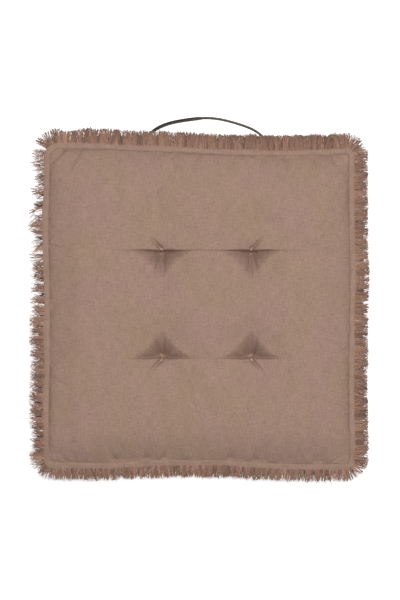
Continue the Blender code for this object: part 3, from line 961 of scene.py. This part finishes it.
def make_strap():
    """The strap as one piece: sewn ends, the rise from the wall and the bowed loop."""
    middle_x = (loop_low.x + loop_high.x) / 2
    half_span = (loop_high.x - loop_low.x) / 2
    sewn_y = end_low.y + STRAP_THICK / 2
    apex_y = loop_high.y - STRAP_THICK / 2
    end_reach = middle_x - end_low.x
    run, steps = 0.022, 190
    reach = np.linspace(-end_reach, end_reach, steps)
    y = strap_line(reach, half_span, apex_y)
    foot = np.abs(strap_line(np.array([half_span - 1e-4]), half_span, apex_y)
                  - AXIS_Y)[0] / 1e-4
    t = np.clip((np.abs(reach) - half_span) / run, 0, 1)
    drop = AXIS_Y - sewn_y
    tail = sewn_y + drop * (1 - 3 * t ** 2 + 2 * t ** 3) - foot * run * (t - 2 * t ** 2 + t ** 3)
    y = np.where(np.abs(reach) < half_span, y, np.maximum(tail, sewn_y))
    y = y + 0.0005 * np.sin(reach / 0.013) * (np.abs(reach) < half_span)
    x = middle_x + reach
    centre = np.column_stack([x, y])
    ahead = np.gradient(centre, axis=0)
    ahead /= np.linalg.norm(ahead, axis=1)[:, None]
    side = np.column_stack([-ahead[:, 1], ahead[:, 0]])
    half_width = (loop_high.z - loop_low.z) / 2
    rest = smooth_step((half_span - np.abs(reach)) / 0.03)
    left_half = smooth_step((-0.002 - reach) / 0.010)
    tilt = rest * (0.03 + 0.08 * left_half)
    over = np.linspace(0, 2 * math.pi, 20, endpoint=False)
    w = half_width * np.sign(np.cos(over)) * np.abs(np.cos(over)) ** 0.35
    h = STRAP_THICK / 2 * np.sign(np.sin(over)) * np.abs(np.sin(over)) ** 0.6
    lean_cos, lean_sin = np.cos(tilt)[:, None], np.sin(tilt)[:, None]
    sway = h * lean_cos + w * lean_sin
    verts = np.stack([x[:, None] + side[:, :1] * sway, y[:, None] + side[:, 1:] * sway,
                      AXIS_Z + w * lean_cos - h * lean_sin], axis=-1).reshape(-1, 3)
    around = len(over)
    faces = tube_faces(np.arange(steps * around).reshape(1, steps, around))
    strap = make_mesh("handle_strap", verts, faces[:, [0, 3, 2, 1]])
    store(strap, "cloth", np.column_stack([
        np.repeat(travelled(centre), around), np.tile(np.cos(over) * half_width, steps),
        np.tile(np.sin(over), steps) * 0.01]))
    # the share of the painted sheen colour, rising from none left of the middle to all right of it;
    # the rest keeps the painted shade colour
    store(strap, "wear_and_painted_sheen", np.repeat(smooth_step((reach + 0.03) / 0.05), around))
    return strap


def make_box_stitch(name, left, right, y):
    """Stitches round a square with a cross inside, which hold one end of the strap."""
    half_height = 0.0085
    corners = [(left, -half_height), (right, -half_height), (right, half_height),
               (left, half_height)]
    runs = list(zip(corners, corners[1:] + corners[:1]))
    runs += [(corners[0], corners[2]), (corners[3], corners[1])]
    paths = []
    for (x0, z0), (x1, z1) in runs:
        count = int(math.hypot(x1 - x0, z1 - z0) / 0.0034)
        for k in range(count):
            t = (k + 0.12 + 0.76 * np.linspace(0, 1, 5)) / count
            paths.append(np.column_stack([
                x0 + (x1 - x0) * t, y + 0.0004 * np.sin(math.pi * np.linspace(0, 1, 5)) - 0.0002,
                AXIS_Z + z0 + (z1 - z0) * t]))
    return tubes(name, np.array(paths), 0.00034, 6)


def surface_height(x, y):
    """The top's height at one place, before stuffing."""
    x, y = np.array([x]), np.array([y])
    return float((top_base(x, y) - tuft_hollows(x, y))[0])


def make_knot(name, tuft, z, sign, tail_angle):
    """A tied knot: turns of twine wound over each other, with two cut tails."""
    paths = []
    rings = 22
    for turn, (tilt, radius) in enumerate(((0.0, 0.0017), (1.1, 0.0015), (2.2, 0.0016))):
        a = np.linspace(0, 2 * math.pi * 0.97, rings)
        long, short = radius * np.cos(a), radius * 0.75 * np.sin(a)
        paths.append(np.column_stack([long * math.cos(tilt) - short * math.sin(tilt),
                                      long * math.sin(tilt) + short * math.cos(tilt),
                                      0.0007 * np.sin(2 * a + turn) + 0.0006 * turn]))
    for k, length in ((0, 0.0110), (1, 0.0070)):
        t = np.linspace(0, 1, rings)
        angle = tail_angle + 0.55 * k + 0.5 * t
        paths.append(np.column_stack([
            np.cos(angle) * length * t, np.sin(angle) * length * t,
            0.0008 + 0.0012 * np.sin(math.pi * t) + 0.0002 * k]))
    stack = np.array(paths)
    stack[..., 2] *= sign
    stack += (tuft[0], tuft[1], z)
    return tubes(name, stack, 0.00075, 6, np.linspace(-0.1, 0.15, len(stack))[:, None])


# ---------------- putting it together

MATERIALS = {"cover_cloth": cloth_material(), "strap": strap_material()}
for slot, colour, variation in (("fringe_yarn", YARN_COLOUR, 1.0),
                                ("sewing_thread", THREAD_COLOUR, 0.2),
                                ("tuft_twine", TWINE_COLOUR, 0.5)):
    MATERIALS[slot] = yarn_material(slot, colour, variation)


def dress(piece, slot, *nodes):
    """Gives a piece of the cushion its material, joins it to the cushion's body, and hides the
    imported nodes it stands in for.
    """
    piece.data.materials.append(MATERIALS[slot])
    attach(piece, "cushion")
    if nodes:
        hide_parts(*nodes)


cover = make_cover()
dress(cover, "cover_cloth", "top_panel", "bottom_panel", "wall_front", "wall_right",
      "wall_back", "wall_left", "fibre_core")

for level, seam_z, sign in FLANGES:
    dress(make_flange(level + "_flange", seam_z, sign), "cover_cloth")
    dress(make_stitches(level + "_flange_stitches", seam_z + sign * STITCH_RISE, sign),
          "sewing_thread", level + "_seam_thread")


def even(length):
    """A length that is the same all along a side."""
    return lambda share: np.full_like(share, length)


def thin_far_half(share):
    """The left fringe is worn thin along its far half."""
    return 0.41 + 0.59 * smooth_step((share - 0.44) / 0.14)


def corner_tufted(length, extra, where):
    """An even length that grows near one end of a side."""
    return lambda share: length + extra * hump(share - where, 0.03)


RUNS = {
    "front": dict(length=even(0.0172), spread=0.09, clump=0.0036, curl=0.0008,
                  gather=0.15, lean=0.10),
    "right": dict(length=even(0.0208), spread=0.04, clump=0.0046, curl=0.0016,
                  gather=0.08, lean=0.12, spacing=0.00052),
    "back": dict(length=corner_tufted(0.0222, -0.005, 0.93), spread=0.06,
                 clump=0.0040, curl=0.0010, gather=0.10, lean=0.09, spacing=0.00044,
                 parting=(0.36, 0.022, 0.5)),
    "left": dict(length=corner_tufted(0.0170, 0.004, 0.0), spread=0.26,
                 clump=0.0048, curl=0.0015, density=thin_far_half, gather=0.85),
}
for number, (place, facts) in enumerate(RUNS.items()):
    for (level, seam_z, sign), droop in zip(FLANGES, (0.0035, 0.0060)):
        name = level + "_fringe_" + place
        yarns = yarn_run(name + "_yarns", number, sign, seam_z, droop=droop,
                         seed=100 + 2 * number + (sign > 0), **facts)
        dress(yarns, "fringe_yarn", name)

for number, tuft in enumerate(TUFTS, 1):
    side, outward = facing(tuft)
    angle = math.atan2(outward * 0.8, side)
    top_z = surface_height(tuft[0], tuft[1] + outward * 0.001) + 0.0006
    knot = make_knot("tuft_knot_top_%d" % number, (tuft[0], tuft[1] + outward * 0.0005),
                     top_z, 1, angle)
    dress(knot, "tuft_twine", "tuft_twine_%d" % number)
    knot = make_knot("tuft_knot_bottom_%d" % number, tuft, BOTTOM_DIP - 0.0006, -1, angle + 1)
    dress(knot, "tuft_twine")

strap = make_strap()
strap.data.materials.append(MATERIALS["strap"])
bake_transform(strap)
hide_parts("handle_end_left", "handle_end_right", "handle_loop")
for name in ("left", "right"):
    low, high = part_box("handle_stitching_" + name)
    stitched = make_box_stitch("handle_stitches_" + name, low[0] + 0.002, high[0] - 0.002,
                               end_low.y + 0.0028)
    dress(stitched, "sewing_thread", "handle_stitching_" + name)

# ---------------- floor, lights and camera

scene = bpy.context.scene
scene.view_settings.view_transform = "Standard"
scene.view_settings.look = "None"

floor = make_mesh("floor", [(4 * x, 4 * y, 0) for x, y in CORNERS],
                  np.array([(0, 1, 2, 3)]), False)
pale = Graph("pale_floor").finish({
    "Base Color": (0.92, 0.92, 0.92, 1), "Roughness": 0.9, "Specular IOR Level": 0,
    "Emission Color": (1, 1, 1, 1), "Emission Strength": 0.60})
floor.data.materials.append(pale)

world = bpy.data.worlds.new("studio")
world.use_nodes = True
sky = world.node_tree.nodes["Background"]
sky.inputs["Color"].default_value = (1, 1, 1, 1)
sky.inputs["Strength"].default_value = 0.22
scene.world = world

# a square soft light that faces the cushion
key_data = bpy.data.lights.new("key", "AREA")
key_data.size = 0.9
key_data.energy = 69
key = bpy.data.objects.new("key", key_data)
key.location = (0.22, 0.32, 2.9)
aim = Vector((0, 0, 0.05)) - key.location
key.rotation_euler = aim.to_track_quat("-Z", "Y").to_euler()
scene.collection.objects.link(key)

camera_data = bpy.data.cameras.new("camera")
camera = bpy.data.objects.new("camera", camera_data)
DISTANCE = 3.2
camera.location = (0.0008, 0.0118, DISTANCE + TOP_FLANGE_Z)
camera_data.sensor_fit = "VERTICAL"
camera_data.sensor_height = 36
VIEW_HEIGHT = 0.945
camera_data.lens = 36 * DISTANCE / VIEW_HEIGHT
scene.collection.objects.link(camera)
scene.camera = camera
